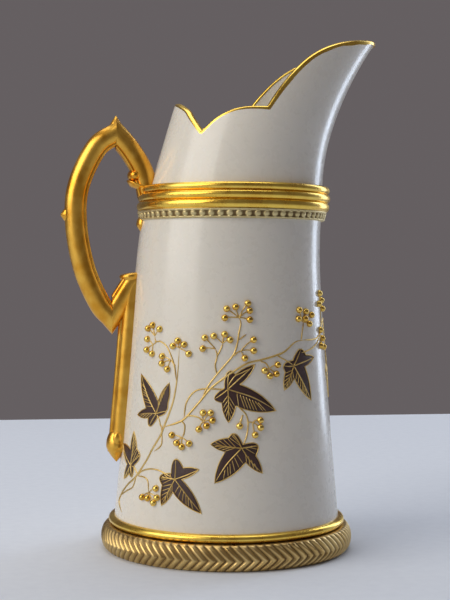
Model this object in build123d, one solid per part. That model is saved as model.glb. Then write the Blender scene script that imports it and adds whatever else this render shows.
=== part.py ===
"""A porcelain cream jug: tapering body, leaning neck with a helmet spout, gilt handle and raised sprays.

Frame: millimetres, +Z up, +X towards the spout, origin on the body's axis at the plane of the foot.
"""

import os
from math import cos, radians, sin, sqrt

from build123d import *

os.makedirs("parts", exist_ok=True)

# Overall sizes
JUG_HEIGHT = 150.0  # foot to the tip of the spout
SHOULDER = 101.4  # height of the joint between body and neck, under the collar
WALL = 2.4  # thickness of the body's wall
NECK_WALL = 2.2  # thickness of the neck's wall
FLOOR_LOW, FLOOR_HIGH = 2.0, 5.6  # the base disc, recessed above the standing ring

# Foot: a moulded rope with a smooth bead above it
ROPE_HEIGHT = 7.3
ROPE_RADIUS = 37.1
ROPE_FOOT_RADIUS = 34.9
ROPE_TOP_RADIUS = 35.0
STANDING_INNER_RADIUS = 31.2
FOOT_REBATE = 1.4  # step inside the foot that the bead and the body stand on
BEAD_HIGH = 9.8
BEAD_RADIUS = 34.9

# Collar: three reeds, and a beaded band under them
COLLAR_CENTRE = 1.5
COLLAR_HEIGHTS = (98.7, 101.4, 103.7, 106.0)
COLLAR_CRESTS = (28.4, 28.3, 27.5)
COLLAR_GROOVES = (27.4, 27.4, 27.0, 26.4)
BAND_CENTRE = 1.2
BAND_LOW, BAND_TOP_RADIUS, BAND_LOW_RADIUS = 96.0, 27.9, 26.9
BURIED = 4.0  # how far the rings' profiles reach inside the wall before the wall is cut from them

# Rim, as points of the side view (x, z), from the spout's tip to the lobe over the handle
RIM_TIP = (44.4, JUG_HEIGHT)
RIM_SPOUT = ((36.4, 148.1), (28.0, 146.0), (20.4, 142.0), (12.4, 134.1))
RIM_KINK = (7.6, 127.3)
RIM_LOBE = (-1.1, 126.8)
RIM_NOTCH = (-10.5, 120.4)
RIM_BACK = (-14.4, 127.0)
RIM_BACK_TIP = (-17.6, 130.2)
GILDING = 0.7  # width of the gilt lip

# Handle
HANDLE_HALF_WIDTH = 3.1
HANDLE_OUT, HANDLE_IN = 3.3, 3.1  # from the centre line to the outer crest and to the inner flat
HANDLE_FLAT = 1.5  # half width of the inner flat
HANDLE_EDGE = -0.8  # where the round outer side meets the slanted inner sides
PEAK_X, CORNER_X = -33.2, -34.2  # mitres at the peak and at the lower corner
ARM_PATH = ((-23.6, 103.0), (-25.4, 110.0), (-29.0, 116.2), (-33.2, 121.0), (-36.4, 124.2))
BOW_PATH = (
    (-29.8, 123.4),
    (-33.2, 120.9),
    (-38.8, 116.7),
    (-43.9, 105.6),
    (-44.5, 94.5),
    (-42.1, 81.8),
    (-37.7, 71.9),
    (-34.2, 67.8),
    (-31.0, 64.2),
)
STRUT_PATH = ((-37.4, 63.6), (-34.2, 68.4), (-26.2, 81.0))
STRAP_LOW, STRAP_HIGH = 28.0, 79.0
STRAP_PROUD = 4.1
STRAP_SUNK = 0.6  # how far the strap's own centre line lies inside the wall
STRAP_HALF_WIDTH = 3.1
# Applied buds, each (x, z) of its centre and its half sizes along x, y and z
STRAP_HEAD = (-28.8, 79.6, 3.9, 3.9, 1.9)
TERMINAL_BUD = (-32.8, 30.2, 3.1, 3.5, 5.0)
PEAK_FINIAL = (-33.0, 124.2, 1.7, 2.1, 2.3)
THUMB_BUD = (-47.2, 97.4, 2.0, 1.7, 2.2)
SPUR_SCROLL = (-28.0, 108.6, 2.3, 2.7, 2.6)
PENDANT_BUD = (-25.2, 94.6, 1.9, 2.4, 2.5)

# Raised decoration
ENAMEL = 0.2  # how far a leaf stands off the wall
LEAF_DEPTH = 8.0  # how deep the leaf's outline is cut, through the curved wall
BERRY_RADIUS = 0.95
BERRY_RISE = 0.25  # height of a berry's centre off its seat
BERRY_GAP = 0.04  # height of its flat seat off the wall

# Each leaf: angle round the body, height, and its five lobes. A lobe is the heading and the reach of its
# tip, and then of the notch after it.
# Angles go from the spout, 0 degrees, through the side at -Y, 90, to the handle, 180.
# A heading of 0 runs round the body towards smaller angles, and 90 is upwards.
LEAVES = (
    (140, 41.5, ((15, 3.5, 39, 5), (66, 9.5, 84, 3.5), (127, 13, 166, 4.5),
        (187, 8.5, 205, 3.5), (235, 4.5, 307, 1))),
    (159, 26, ((35, 5.5, 61, 5.5), (89, 9.5, 103, 4.5), (148, 9.5, 183, 2.5),
        (227, 6, 254, 2.5), (291, 3.5, 7, 2))),
    (126, 24, ((24, 7.5, 54, 4), (91, 5.5, 130, 2), (178, 5, 205, 4.5),
        (242, 8.5, 261, 3.5), (313, 12, 4, 2))),
    (99, 49, ((42, 10, 64, 4.5), (85, 5, 163, 1), (216, 4.5, 245, 4),
        (271, 9, 295, 5), (336, 15, 22, 3.5))),
    (92, 33, ((10, 4.5, 71, 1), (119, 4.5, 142, 4.5), (173, 8.5, 192, 4.5),
        (232, 12, 286, 4), (310, 9, 331, 4.5))),
    (60, 55, ((12, 9.5, 27, 6), (55, 5.5, 98, 1.5), (178, 3.5, 208, 3.5),
        (241, 7.5, 270, 3.5), (304, 12, 355, 4.5))),
    (14, 53.5, ((40, 8, 62, 4), (90, 5, 150, 1.5), (205, 4.5, 232, 4),
        (262, 9, 285, 4), (325, 12, 12, 3.5))),
    (236, 35, ((20, 5, 52, 4), (92, 12, 122, 4), (152, 9, 178, 3.5),
        (222, 5, 255, 2), (300, 4.5, 340, 3.5))),
    (266, 49, ((30, 8.5, 55, 4), (85, 5, 140, 1.5), (190, 4.5, 215, 4),
        (250, 8.5, 275, 4), (310, 12.5, 2, 3.5))),
    (322, 57, ((15, 5, 80, 1), (125, 5, 148, 4), (178, 8.5, 200, 4),
        (238, 11.5, 288, 4), (312, 9, 338, 4))),
)

# Each cluster of berries: (angle, height) of every berry
CLUSTERS = (
    ((147, 66.0), (151, 65.0), (141, 65.0), (151, 62.0), (151, 59.0), (146, 58.0)),
    ((128, 62.0), (131, 60.5), (124, 61.0), (121, 58.5)),
    ((138, 57.5), (138, 55.5), (134, 54.0)),
    ((112, 63.0), (107, 63.5), (113, 60.0), (101, 64.0), (98, 62.5)),
    ((100, 71.0), (95, 71.5), (101, 68.5), (88, 72.5), (87, 70.5), (87, 68.0)),
    ((85, 62.5), (85, 59.5), (90, 57.5)),
    ((79, 54.0), (76, 52.5), (71, 55.5), (72, 53.0)),
    ((54, 70.5), (48, 70.0), (55, 68.0), (42, 69.0), (45, 66.5), (49, 68.0)),
    ((112, 42.5), (108, 42.5), (107, 40.5), (110, 39.0), (114, 38.0)),
    ((129, 36.0), (126, 34.0), (123, 33.0), (119, 34.0)),
    ((137, 21.0), (136, 18.5), (138, 17.0), (142, 18.0), (146, 18.0)),
    ((93, 39.0), (82, 40.5), (82, 38.5), (85, 36.5)),
    ((27, 75.0), (23, 73.0), (21, 70.5), (30, 72.0)),
    ((30, 64.5), (27, 62.0), (25, 59.5), (31, 60.0)),
    ((352, 73.0), (347, 74.0), (346, 71.5), (351, 70.0), (342, 72.5)),
    ((334, 70.5), (330, 71.5), (328, 68.5), (333, 68.0)),
    ((250, 62.0), (255, 63.0), (256, 60.5), (251, 59.0), (247, 60.0)),
    ((276, 63.0), (281, 64.0), (282, 61.0), (277, 60.0)),
    ((222, 52.0), (227, 53.0), (228, 50.5), (223, 49.5)),
)


def lean(z):
    """How far the wall's centre has moved towards the spout at a height."""
    return 0.00107 * max(z - 75.0, 0.0) ** 2.25


def half_length(z):
    """Half the wall's outer size from handle to spout at a height."""
    if z <= SHOULDER:
        return 26.3 + 7.7 * max(1.0 - z / SHOULDER, 0.0) ** 1.3
    return 24.3 + (0.0052 if z < 121.0 else 0.003) * (z - 121.0) ** 2


def half_width(z):
    """Half the wall's outer size from side to side at a height. The spout narrows as it rises."""
    return half_length(z) - 0.0067 * max(z - 117.0, 0.0) ** 2


def wall_point(angle, z, grow=0.0):
    """A point on the outer wall, or a distance outside it. Angle 0 is the spout and 90 is the side at -Y."""
    a = radians(angle)
    return Vector(
        lean(z) + (half_length(z) + grow) * cos(a), -(half_width(z) + grow) * sin(a), z
    )


def wall_solid(heights, grow=0.0):
    """The solid inside the outer wall between the first and the last height, grown by a distance."""
    return loft(
        [Pos(lean(z), 0, z) * Ellipse(half_length(z) + grow, half_width(z) + grow) for z in heights]
    )


def save(name, shape):
    """Writes one named piece."""
    export_step(shape, f"parts/{name}.step")
    print(name, round(shape.volume, 1))


def turned(points, centre=0.0):
    """A ring turned about the vertical line at x = centre, from a closed run of edges in (radius, z)."""
    profile = Plane.XZ * make_face(points)
    return Pos(centre, 0, 0) * revolve(profile, Axis.Z)


def rope_ring(core):
    """The standing ring: flat below, bulging outwards, with its top under the bead."""
    outline = [
        Line((STANDING_INNER_RADIUS, 0), (ROPE_FOOT_RADIUS, 0)),
        ThreePointArc(
            (ROPE_FOOT_RADIUS, 0), (ROPE_RADIUS, ROPE_HEIGHT / 2), (ROPE_TOP_RADIUS, ROPE_HEIGHT)
        ),
        Polyline(
            (ROPE_TOP_RADIUS, ROPE_HEIGHT),
            (STANDING_INNER_RADIUS + FOOT_REBATE, ROPE_HEIGHT),
            (STANDING_INNER_RADIUS + FOOT_REBATE, FLOOR_LOW),
            (STANDING_INNER_RADIUS, FLOOR_LOW),
            (STANDING_INNER_RADIUS, 0),
        ),
    ]
    return turned(outline) - core


def bead_ring(core):
    """The smooth bead between the rope and the body."""
    inner = STANDING_INNER_RADIUS + FOOT_REBATE
    middle = (ROPE_HEIGHT + BEAD_HIGH) / 2
    outline = [
        Line((inner, ROPE_HEIGHT), (BEAD_RADIUS - 0.5, ROPE_HEIGHT)),
        ThreePointArc(
            (BEAD_RADIUS - 0.5, ROPE_HEIGHT), (BEAD_RADIUS, middle - 0.2), (BEAD_RADIUS - 1.5, BEAD_HIGH)
        ),
        Polyline((BEAD_RADIUS - 1.5, BEAD_HIGH), (inner, BEAD_HIGH), (inner, ROPE_HEIGHT)),
    ]
    return turned(outline) - core


def collar(core):
    """Three reeds, each an arc between two grooves."""
    inner = COLLAR_GROOVES[-1] - BURIED
    outline = [
        ThreePointArc(
            (COLLAR_GROOVES[i], COLLAR_HEIGHTS[i]),
            (COLLAR_CRESTS[i], (COLLAR_HEIGHTS[i] + COLLAR_HEIGHTS[i + 1]) / 2),
            (COLLAR_GROOVES[i + 1], COLLAR_HEIGHTS[i + 1]),
        )
        for i in range(len(COLLAR_CRESTS))
    ]
    outline.append(
        Polyline(
            (COLLAR_GROOVES[-1], COLLAR_HEIGHTS[-1]),
            (inner, COLLAR_HEIGHTS[-1]),
            (inner, COLLAR_HEIGHTS[0]),
            (COLLAR_GROOVES[0], COLLAR_HEIGHTS[0]),
        )
    )
    return turned(outline, COLLAR_CENTRE) - core


def beaded_band(core):
    """The plain envelope of the pearled band that hangs under the collar."""
    top = COLLAR_HEIGHTS[0]
    outline = Polyline(
        (BAND_LOW_RADIUS - BURIED, BAND_LOW),
        (BAND_LOW_RADIUS, BAND_LOW),
        (BAND_TOP_RADIUS, BAND_LOW + 1.0),
        (BAND_TOP_RADIUS, top),
        (BAND_LOW_RADIUS - BURIED, top),
        close=True,
    )
    return turned(outline, BAND_CENTRE) - core


def above_rim(lower=0.0):
    """Everything above the rim, or above the rim moved down by a distance, as a slab across the jug."""
    beyond = 30.0  # clear of the jug's outline on every side
    outline = [
        Spline(RIM_TIP, *RIM_SPOUT, RIM_KINK),
        ThreePointArc(RIM_KINK, RIM_LOBE, RIM_NOTCH),
        ThreePointArc(RIM_NOTCH, RIM_BACK, RIM_BACK_TIP),
        Polyline(
            RIM_BACK_TIP,
            (RIM_BACK_TIP[0] - beyond, RIM_BACK_TIP[1] + 3),
            (RIM_BACK_TIP[0] - beyond, JUG_HEIGHT + beyond),
            (RIM_TIP[0] + beyond, JUG_HEIGHT + beyond),
            (RIM_TIP[0] + beyond, RIM_TIP[1] + 1),
            RIM_TIP,
        ),
    ]
    slab = extrude(Plane.XZ * make_face(outline), 2 * beyond, both=True)
    return Pos(0, 0, -lower) * slab


def handle_section(path):
    """The handle's section: a round outer side, and an inner side cut back to a narrow flat."""
    outer = ThreePointArc((-HANDLE_HALF_WIDTH, HANDLE_EDGE), (0, HANDLE_OUT), (HANDLE_HALF_WIDTH, HANDLE_EDGE))
    inner = Polyline(
        (HANDLE_HALF_WIDTH, HANDLE_EDGE),
        (HANDLE_FLAT, -HANDLE_IN),
        (-HANDLE_FLAT, -HANDLE_IN),
        (-HANDLE_HALF_WIDTH, HANDLE_EDGE),
    )
    return Plane(origin=path @ 0, x_dir=(0, 1, 0), z_dir=path % 0) * make_face([outer, inner])


def handle_bar(points):
    """A bar of the handle's section along a smooth line through points of the side view."""
    path = Spline(*[(x, 0, z) for x, z in points])
    return sweep(handle_section(path), path=path)


def side_of(x, towards_handle):
    """A block that holds everything on one side of a plane across the handle."""
    size = 120.0
    shift = -size / 2 if towards_handle else size / 2
    return Pos(x + shift, 0, 95) * Box(size, size, size)


def ellipsoid(x, z, rx, ry, rz):
    """A bud: a ball stretched along the three axes."""
    ball = scale(Sphere(1.0), by=(rx, ry, rz))
    return Pos(x, 0, z) * ball


def strap():
    """The bar that runs down the back of the body, before the body is cut from it."""
    rings = []
    for z in (STRAP_LOW, (STRAP_LOW + STRAP_HIGH) / 2, STRAP_HIGH):
        x = -half_length(z) + STRAP_SUNK
        rings.append(Pos(x, 0, z) * Ellipse(STRAP_PROUD + STRAP_SUNK, STRAP_HALF_WIDTH))
    return loft(rings)


def leaf(angle, height, lobes, layer):
    """An ivy leaf: five lobes about its centre, cut from a thin layer on the wall."""
    foot = wall_point(angle, height)
    out = Vector(cos(radians(angle)), -sin(radians(angle)), 0)
    along = Vector(sin(radians(angle)), cos(radians(angle)), 0)
    plane = Plane(origin=foot - out * LEAF_DEPTH / 2, x_dir=along, z_dir=out)
    points = []
    for tip_heading, tip_reach, notch_heading, notch_reach in lobes:
        for heading, reach in ((tip_heading, tip_reach), (notch_heading, notch_reach)):
            points.append((reach * cos(radians(heading)), reach * sin(radians(heading))))
    blade = extrude(plane * make_face(Polyline(*points, close=True)), LEAF_DEPTH)
    return blade & layer


def berry_dome():
    """One berry: the part of a ball above a flat seat, turned about its own axis."""
    seat_radius = sqrt(BERRY_RADIUS**2 - BERRY_RISE**2)
    top = BERRY_RADIUS + BERRY_RISE
    outline = [
        Line((0, 0), (seat_radius, 0)),
        ThreePointArc((seat_radius, 0), (BERRY_RADIUS, BERRY_RISE), (0, top)),
        Line((0, top), (0, 0)),
    ]
    return revolve(Plane.XZ * make_face(outline), Axis.Z)


def berry(angle, height, dome):
    """A berry set square on the wall, just off it."""
    slope = (half_length(height + 1) - half_length(height - 1)) / 2
    out = Vector(cos(radians(angle)), -sin(radians(angle)), -slope).normalized()
    seat = wall_point(angle, height) + out * BERRY_GAP
    return Plane(origin=seat, z_dir=out) * dome


body_heights = (FLOOR_LOW, 20, 40, 60, 76, 90, SHOULDER)
neck_heights = (SHOULDER, 106, 111, 118, 126, 134, 142, JUG_HEIGHT + 2)
body_core = wall_solid(body_heights)
body_inside = wall_solid(body_heights, -WALL)
neck_core = wall_solid(neck_heights)
neck_inside = wall_solid(neck_heights, -NECK_WALL)
core = [body_core, neck_core]

save("body_wall", body_core - body_inside)
floor_slab = Pos(0, 0, (FLOOR_LOW + FLOOR_HIGH) / 2) * Box(80, 80, FLOOR_HIGH - FLOOR_LOW)
save("body_floor", body_inside & floor_slab)

neck_wall = neck_core - neck_inside - above_rim()
save("neck_and_spout", neck_wall - above_rim(GILDING))
save("rim_gilding", neck_wall & above_rim(GILDING))

rope = rope_ring(body_core)
bead = bead_ring(body_core)
reeds = collar(core)
band = beaded_band(core)
save("foot_rope_ring", rope)
save("foot_bead_ring", bead)
save("neck_collar", reeds)
save("collar_beaded_band", band)

# The bow runs from the peak to the lower corner, and the strut from that corner to the strap
below_gap = Pos(CORNER_X + 30, 0, 60) * Box(60, 60, 40)
upper_arm = (handle_bar(ARM_PATH) & side_of(PEAK_X, False)) - [*core, reeds, band]
bow = (handle_bar(BOW_PATH) & side_of(PEAK_X, True)) - below_gap
strap_bar = strap() - core
strap_head = ellipsoid(*STRAP_HEAD) - [*core, strap_bar]
strut = (handle_bar(STRUT_PATH) & side_of(CORNER_X, False)) - [*core, strap_bar, strap_head]
strut = strut.solids().sort_by(SortBy.VOLUME)[-1]
save("handle_upper_arm", upper_arm)
save("handle_bow", bow)
save("handle_lower_strut", strut)
save("handle_strap", strap_bar)
save("handle_strap_head", strap_head)
save("handle_terminal_bud", ellipsoid(*TERMINAL_BUD) - [*core, strap_bar])
save("handle_peak_finial", ellipsoid(*PEAK_FINIAL) - [upper_arm, bow])
save("handle_thumb_bud", ellipsoid(*THUMB_BUD) - bow)
save("handle_spur_scroll", ellipsoid(*SPUR_SCROLL) - [*core, reeds, band, upper_arm])
save("collar_pendant_bud", ellipsoid(*PENDANT_BUD) - [*core, band])

layer = wall_solid(body_heights[:-1], ENAMEL) - body_core
for number, (angle, height, lobes) in enumerate(LEAVES, 1):
    save(f"leaf_{number:02d}", leaf(angle, height, lobes, layer))
dome = berry_dome()
for number, places in enumerate(CLUSTERS, 1):
    cluster = Compound(children=[berry(*place, dome) for place in places])
    save(f"berry_cluster_{number:02d}", cluster)
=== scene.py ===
# %% [markdown]
# A porcelain cream jug
#
# This lesson dresses a small porcelain jug: a tapering body on a moulded rope foot, a leaning neck with a
# helmet spout, a gilt handle, and a spray of ivy and berries in raised gold and enamel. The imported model
# gives every place and size. Each piece is a surface worked out on a grid with numpy, so its shape is a
# formula that can be read, and its finish is a small tree of shader nodes.

import bmesh
import bpy
import numpy as np
from mathutils import Matrix, Vector


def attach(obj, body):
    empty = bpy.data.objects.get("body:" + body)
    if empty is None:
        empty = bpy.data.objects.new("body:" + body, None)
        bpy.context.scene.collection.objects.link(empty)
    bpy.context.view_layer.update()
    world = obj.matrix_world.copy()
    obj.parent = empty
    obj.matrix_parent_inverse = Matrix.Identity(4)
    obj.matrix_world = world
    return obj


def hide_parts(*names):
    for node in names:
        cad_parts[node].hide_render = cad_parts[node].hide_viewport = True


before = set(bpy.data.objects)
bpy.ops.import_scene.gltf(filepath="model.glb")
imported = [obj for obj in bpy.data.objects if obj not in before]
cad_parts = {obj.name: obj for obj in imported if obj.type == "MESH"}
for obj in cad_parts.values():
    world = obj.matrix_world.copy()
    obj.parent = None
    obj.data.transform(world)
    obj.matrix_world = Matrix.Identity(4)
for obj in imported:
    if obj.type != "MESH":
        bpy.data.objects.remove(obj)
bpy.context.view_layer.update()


MM = 0.001

# %% [markdown]
# ## The wall, as a formula
#
# The real jug is cast in a mould, so its wall is one smooth form: round at the foot, slightly hollow up
# the side, leaning towards the spout in the neck, and narrowing from side to side in the spout itself. One
# function gives any point on it. Everything that sits on the wall, from the gilt lip to the smallest berry,
# asks the same function for its place, so nothing has to be fitted by eye.

# %% The wall
SHOULDER = 101.4  # height of the joint between body and neck, in millimetres as everywhere below
FLOOR_LOW, FLOOR_HIGH = 2.0, 5.6
WALL = 2.4


def lean(z):
    """The wall's centre moves towards the spout as the 2.25th power of the height above 75 mm."""
    return 0.00107 * np.maximum(z - 75.0, 0.0) ** 2.25


def half_length(z):
    """Below the shoulder a power of the height left to go, and above it a parabola, narrowest at 121 mm."""
    body = 26.3 + 7.7 * np.maximum(1.0 - z / SHOULDER, 0.0) ** 1.3
    neck = 24.3 + np.where(z < 121.0, 0.0052, 0.003) * (z - 121.0) ** 2
    return np.where(z <= SHOULDER, body, neck)


def half_width(z):
    """The half length, less a parabola above 117 mm, which pinches the spout."""
    return half_length(z) - 0.0067 * np.maximum(z - 117.0, 0.0) ** 2


def wall(angle, z, out=0.0):
    """A point on an ellipse about the leaning centre, grown outwards by out. Angles are degrees from the
    spout, 90 is the side at -Y and 180 is the handle."""
    angle, z, out = np.broadcast_arrays(*(np.asarray(v, float) for v in (angle, z, out)))
    a = np.radians(angle)
    x = lean(z) + (half_length(z) + out) * np.cos(a)
    y = -(half_width(z) + out) * np.sin(a)
    return np.stack([x, y, z], -1)


print("radius at foot, waist and shoulder:", [float(half_length(np.array(z)).round(1)) for z in (3, 50, 101)])


# %% [markdown]
# ## From a grid of points to a piece
#
# Blender wants a list of corners and a list of faces. A grid of points gives both at once: point (i, j)
# joins its right and upper neighbours, and the last row or column may join the first. One helper does that
# for every piece here. It merges the doubled points at poles and seams and turns all faces outwards.

# %% Grid to mesh
def grid_faces(rows, columns, wrap_rows, wrap_columns):
    """Every grid cell as four corner numbers, wrapping round where asked."""
    i = np.arange(rows if wrap_rows else rows - 1)[:, None]
    j = np.arange(columns if wrap_columns else columns - 1)[None, :]
    i2, j2 = (i + 1) % rows, (j + 1) % columns
    corners = [i * columns + j, i * columns + j2, i2 * columns + j2, i2 * columns + j]
    return np.stack([np.broadcast_to(c, (i.size, j.size)) for c in corners], -1).reshape(-1, 4)


def surface(name, grids, wrap_rows=True, wrap_columns=True, mask=None, sharp=None):
    """A mesh object from one or more grids of points in millimetres. mask is a value for each point, kept
    as the attribute "groove"; sharp is the angle past which an edge stays crisp."""
    grids = [np.asarray(g, float) for g in (grids if isinstance(grids, list) else [grids])]
    points, faces, start = [], [], 0
    for g in grids:
        points.append(g.reshape(-1, 3) * MM)
        faces.append(grid_faces(g.shape[0], g.shape[1], wrap_rows, wrap_columns) + start)
        start += g.shape[0] * g.shape[1]
    points, faces = np.concatenate(points), np.concatenate(faces)
    mesh = bpy.data.meshes.new(name)
    mesh.vertices.add(len(points))
    mesh.vertices.foreach_set("co", points.ravel())
    mesh.loops.add(faces.size)
    mesh.loops.foreach_set("vertex_index", faces.ravel().astype(np.int32))
    mesh.polygons.add(len(faces))
    mesh.polygons.foreach_set("loop_start", np.arange(0, faces.size, 4, dtype=np.int32))
    mesh.update(calc_edges=True)
    if mask is not None:
        layer = mesh.attributes.new("groove", "FLOAT", "POINT")
        layer.data.foreach_set("value", np.asarray(mask, np.float32).ravel())
    tidy = bmesh.new()
    tidy.from_mesh(mesh)
    bmesh.ops.remove_doubles(tidy, verts=tidy.verts, dist=2e-6)
    bmesh.ops.recalc_face_normals(tidy, faces=tidy.faces)
    tidy.to_mesh(mesh)
    tidy.free()
    mesh.polygons.foreach_set("use_smooth", np.ones(len(mesh.polygons), bool))
    if sharp:
        mesh.set_sharp_from_angle(angle=np.radians(sharp))
    piece = bpy.data.objects.new(name, mesh)
    bpy.context.scene.collection.objects.link(piece)
    return piece


def dress(piece, material, slot, *nodes):
    """Gives a piece its material and its body, and hides the CAD nodes that it stands for."""
    piece.data.materials.append(material)
    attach(piece, "root")
    if nodes:
        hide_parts(*nodes)
    print(f"{piece.name}: {len(piece.data.polygons)} faces")
    return piece


def smooth_through(values, count):
    """A smooth line through points: cubic pieces whose slope at each point is half the step between its
    neighbours (Catmull-Rom), read at count even places. Works on any number of coordinates at once."""
    v = np.asarray(values, float)
    v = v[:, None] if v.ndim == 1 else v
    ends = np.concatenate([2 * v[:1] - v[1:2], v, 2 * v[-1:] - v[-2:-1]])
    t = np.linspace(0, len(v) - 1, count)
    k = np.minimum(t.astype(int), len(v) - 2)
    f = (t - k)[:, None]
    a, b, c, d = ends[k], ends[k + 1], ends[k + 2], ends[k + 3]
    line = 0.5 * (2 * b + (c - a) * f + (2 * a - 5 * b + 4 * c - d) * f**2 + (3 * b - a - 3 * c + d) * f**3)
    return line


# %% [markdown]
# ## Finishes: the shared effects
#
# Hand-made ware is never one flat tone. A glaze drifts slowly from warm to cool, and gilding is rubbed and
# brushed unevenly. Each such effect is a node group with named inputs, built once and placed in every
# material that shows it with values of its own. The moulded grooves are darkened with painted shade.

# %% Helpers for shader trees
def new_group(name, inputs, outputs):
    """An empty node group. inputs and outputs are lists of (name, socket type, default)."""
    group = bpy.data.node_groups.new(name, "ShaderNodeTree")
    for label, kind, default in inputs:
        socket = group.interface.new_socket(label, in_out="INPUT", socket_type=kind)
        socket.default_value = default
    for label, kind, _ in outputs:
        group.interface.new_socket(label, in_out="OUTPUT", socket_type=kind)
    return group, group.nodes.new("NodeGroupInput"), group.nodes.new("NodeGroupOutput")


def add(tree, kind, settings=None, **inputs):
    """Adds a node. settings are its own properties, and inputs are socket values or links by name."""
    node = tree.nodes.new(kind)
    for key, value in (settings or {}).items():
        setattr(node, key, value)
    for key, value in inputs.items():
        socket = node.inputs[key.replace("_", " ")] if isinstance(key, str) else node.inputs[key]
        if isinstance(value, bpy.types.NodeSocket):
            tree.links.new(value, socket)
        else:
            socket.default_value = value
    return node


def maths(tree, operation, a, b=0.5, clamp=False):
    """One Math node: a and b are numbers or sockets."""
    node = tree.nodes.new("ShaderNodeMath")
    node.operation, node.use_clamp = operation, clamp
    for socket, value in zip(node.inputs, (a, b)):
        if isinstance(value, bpy.types.NodeSocket):
            tree.links.new(value, socket)
        else:
            socket.default_value = value
    return node.outputs[0]


def mix_colour(tree, factor, a, b):
    """Mixes two colours by a factor: each is a value or a socket."""
    node = tree.nodes.new("ShaderNodeMix")
    node.data_type = "RGBA"
    for socket, value in zip((node.inputs[0], node.inputs[6], node.inputs[7]), (factor, a, b)):
        if isinstance(value, bpy.types.NodeSocket):
            tree.links.new(value, socket)
        else:
            socket.default_value = value
    return node.outputs[2]


def ramp(tree, value, low, high):
    """Stretches a value so that low becomes 0 and high becomes 1, smoothly."""
    node = tree.nodes.new("ShaderNodeMapRange")
    node.interpolation_type = "SMOOTHSTEP"
    tree.links.new(value, node.inputs["Value"])
    node.inputs["From Min"].default_value, node.inputs["From Max"].default_value = low, high
    return node.outputs["Result"]


def noise(tree, vector, scale, detail=2.0, roughness=0.5):
    """A noise texture's value on a vector."""
    node = add(tree, "ShaderNodeTexNoise", Vector=vector, Scale=scale, Detail=detail, Roughness=roughness)
    return node.outputs[0]


# %% Slow drift of tone, as on glaze and on gold
drift_group, gi, go = new_group(
    "tone_drift",
    [("Vector", "NodeSocketVector", (0, 0, 0)), ("Scale", "NodeSocketFloat", 25.0)],
    [("Broad", "NodeSocketFloat", 0), ("Fine", "NodeSocketFloat", 0)],
)
broad = noise(drift_group, gi.outputs[0], gi.outputs[1], 3.0)
fine_scale = maths(drift_group, "MULTIPLY", gi.outputs[1], 14.0)
fine = noise(drift_group, gi.outputs[0], fine_scale, 4.0, 0.6)
drift_group.links.new(ramp(drift_group, broad, 0.32, 0.68), go.inputs[0])
drift_group.links.new(ramp(drift_group, fine, 0.3, 0.7), go.inputs[1])

# %% Brushed gold: streaks where the gilder's burnisher ran, and thin worn spots
gild_group, gi, go = new_group(
    "gilder_marks",
    [("Vector", "NodeSocketVector", (0, 0, 0)), ("Wear", "NodeSocketFloat", 0.3)],
    [("Streak", "NodeSocketFloat", 0), ("Worn", "NodeSocketFloat", 0), ("Height", "NodeSocketFloat", 0)],
)
streak = noise(gild_group, gi.outputs[0], 180.0, 3.0, 0.55)
patches = noise(gild_group, gi.outputs[0], 160.0, 5.0, 0.6)
threshold = maths(gild_group, "SUBTRACT", 0.86, gi.outputs["Wear"])
above = maths(gild_group, "SUBTRACT", patches, threshold)
worn = maths(gild_group, "MULTIPLY", above, 9.0, clamp=True)
dimple = noise(gild_group, gi.outputs[0], 700.0, 2.0, 0.5)
lumps = maths(gild_group, "ADD", streak, maths(gild_group, "MULTIPLY", dimple, 0.35))
gild_group.links.new(ramp(gild_group, streak, 0.3, 0.7), go.inputs[0])
gild_group.links.new(worn, go.inputs[1])
gild_group.links.new(lumps, go.inputs[2])
print("shared effects:", [g.name for g in bpy.data.node_groups])


# %% [markdown]
# ## The finishes themselves
#
# The body is a satin ivory glaze over porcelain: pale and warm, with a soft sheen and a few kiln specks.
# The gold is real gold fired on and burnished, so it is fully metallic, and its warm colour comes from the
# metal. The foot is an older, browner gold whose grooves are darkened with painted shade, and the pearl
# band is matt. The ivy is a brown enamel that stands a little off the glaze.

# %% Material helpers
def new_material(name):
    """A material with its Principled BSDF, object coordinates and tree."""
    material = bpy.data.materials.new(name)
    material.use_nodes = True
    tree = material.node_tree
    shader = next(n for n in tree.nodes if n.type == "BSDF_PRINCIPLED")
    place = tree.nodes.new("ShaderNodeTexCoord").outputs["Object"]
    return material, tree, shader, place


def group_node(tree, group, **inputs):
    """Places a node group with its own values."""
    node = tree.nodes.new("ShaderNodeGroup")
    node.node_tree = group
    for key, value in inputs.items():
        if isinstance(value, bpy.types.NodeSocket):
            tree.links.new(value, node.inputs[key])
        else:
            node.inputs[key].default_value = value
    return node


def bump(tree, shader, height, strength, distance):
    """Lets a height tilt the surface's normal."""
    node = add(tree, "ShaderNodeBump", Height=height, Strength=strength, Distance=distance)
    tree.links.new(node.outputs[0], shader.inputs["Normal"])


def between(tree, factor, low, high):
    """A number that runs from low to high with a factor."""
    node = tree.nodes.new("ShaderNodeMapRange")
    tree.links.new(factor, node.inputs["Value"])
    node.inputs["To Min"].default_value, node.inputs["To Max"].default_value = low, high
    return node.outputs["Result"]


# %% Ivory porcelain
IVORY_WARM, IVORY_COOL = (0.80, 0.755, 0.66, 1), (0.77, 0.735, 0.655, 1)
SPECK = (0.22, 0.13, 0.08, 1)


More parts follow.
